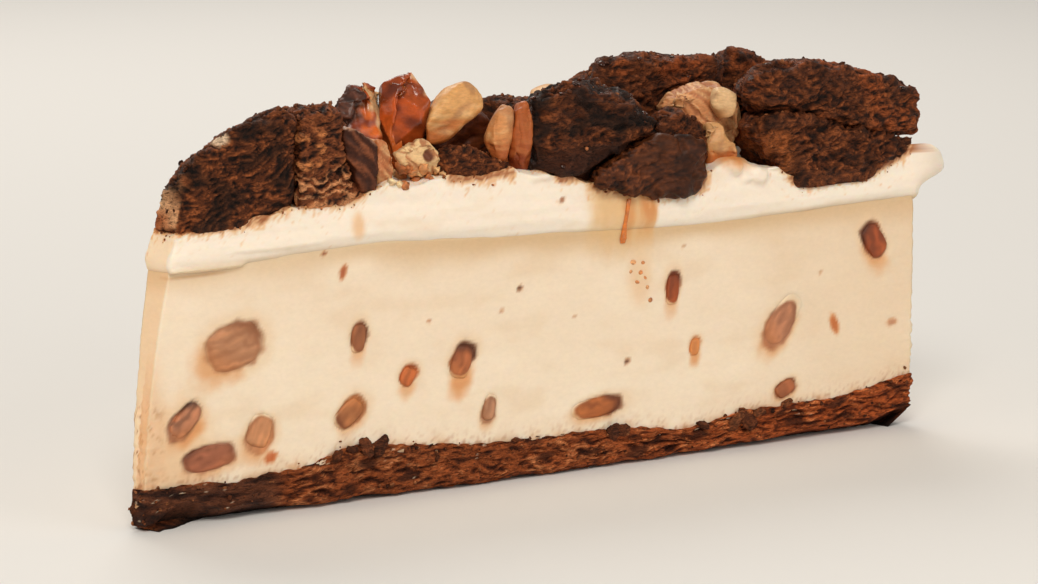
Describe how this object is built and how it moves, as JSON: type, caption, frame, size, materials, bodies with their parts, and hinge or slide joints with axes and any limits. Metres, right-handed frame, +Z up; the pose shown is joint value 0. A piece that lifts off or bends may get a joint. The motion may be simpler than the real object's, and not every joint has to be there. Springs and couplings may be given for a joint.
{
  "type": "cheesecake slice",
  "caption": "Wedge of cream cheesecake on a chocolate crumb crust, set with nuts and topped with brownie chunks, nuts and caramel.",
  "frame": {"origin": "under the middle of the slice's bounding box, on the surface it stands on", "axes": "+X along the slice's mid-line from the tip to the outer rim, +Z up; the front cut face looks to -Y"},
  "size_m": [0.1316, 0.0648, 0.0583],
  "materials": {
    "crust": "dark pressed chocolate crumb, rough and crumbly",
    "filling": "dense pale cheesecake, satin cut surface",
    "cream": "smooth off-white cream, soft satin",
    "brownie": "dark brownie with open wavy crumb and a glossy skin",
    "nutty_brownie": "lighter brownie with tan nut bits",
    "fudge": "smooth dark fudge, satin to glossy",
    "caramel": "amber caramel over nuts, glossy and slightly clear",
    "almond": "light golden nut with fine grain",
    "hazelnut": "golden brown nut halves, satin",
    "toffee": "toffee-tan broken nut",
    "set_nut": "nut pieces cut through with the filling, soft edges"
  },
  "bodies": {
    "root": {"almond_big": "toffee", "almond_half": "almond", "almond_tip": "almond", "bent_nut": "toffee", "broken_nut": "almond", "brownie_back": "brownie", "brownie_front": "brownie", "brownie_knob": "brownie", "brownie_low": "brownie", "brownie_nutty": "nutty_brownie", "brownie_rear_inner": "brownie", "brownie_rear_middle": "brownie", "brownie_rear_rim": "brownie", "brownie_rear_tip": "brownie", "brownie_rim_lower": "brownie", "brownie_rim_upper": "brownie", "brownie_shoulder": "brownie", "brownie_tip": "brownie", "caramel_lump": "caramel", "caramel_nut": "caramel", "caramel_slab": "fudge", "cheesecake_filling": "filling", "chocolate_crust": "crust", "chocolate_shard": "nutty_brownie", "cream_layer": "cream", "fudge_drape": "fudge", "hazelnut_half_left": "hazelnut", "hazelnut_half_right": "hazelnut", "nut_rear_1": "almond", "nut_rear_2": "hazelnut", "nut_rear_3": "toffee", "nut_rear_4": "almond", "nut_rear_5": "caramel", "nut_rear_6": "hazelnut", "set_nut_01": "set_nut", "set_nut_02": "set_nut", "set_nut_03": "set_nut", "set_nut_04": "set_nut", "set_nut_05": "set_nut", "set_nut_06": "set_nut", "set_nut_07": "set_nut", "set_nut_08": "set_nut", "set_nut_09": "set_nut", "set_nut_10": "set_nut", "set_nut_11": "set_nut", "set_nut_12": "set_nut", "set_nut_13": "set_nut", "set_nut_14": "set_nut", "set_nut_15": "set_nut", "set_nut_16": "set_nut", "set_nut_17": "set_nut", "set_nut_18": "set_nut", "set_nut_19": "set_nut", "set_nut_20": "set_nut", "set_nut_21": "set_nut", "set_nut_22": "set_nut", "set_nut_23": "set_nut", "toffee_nut": "toffee"}
  },
  "joints": []
}
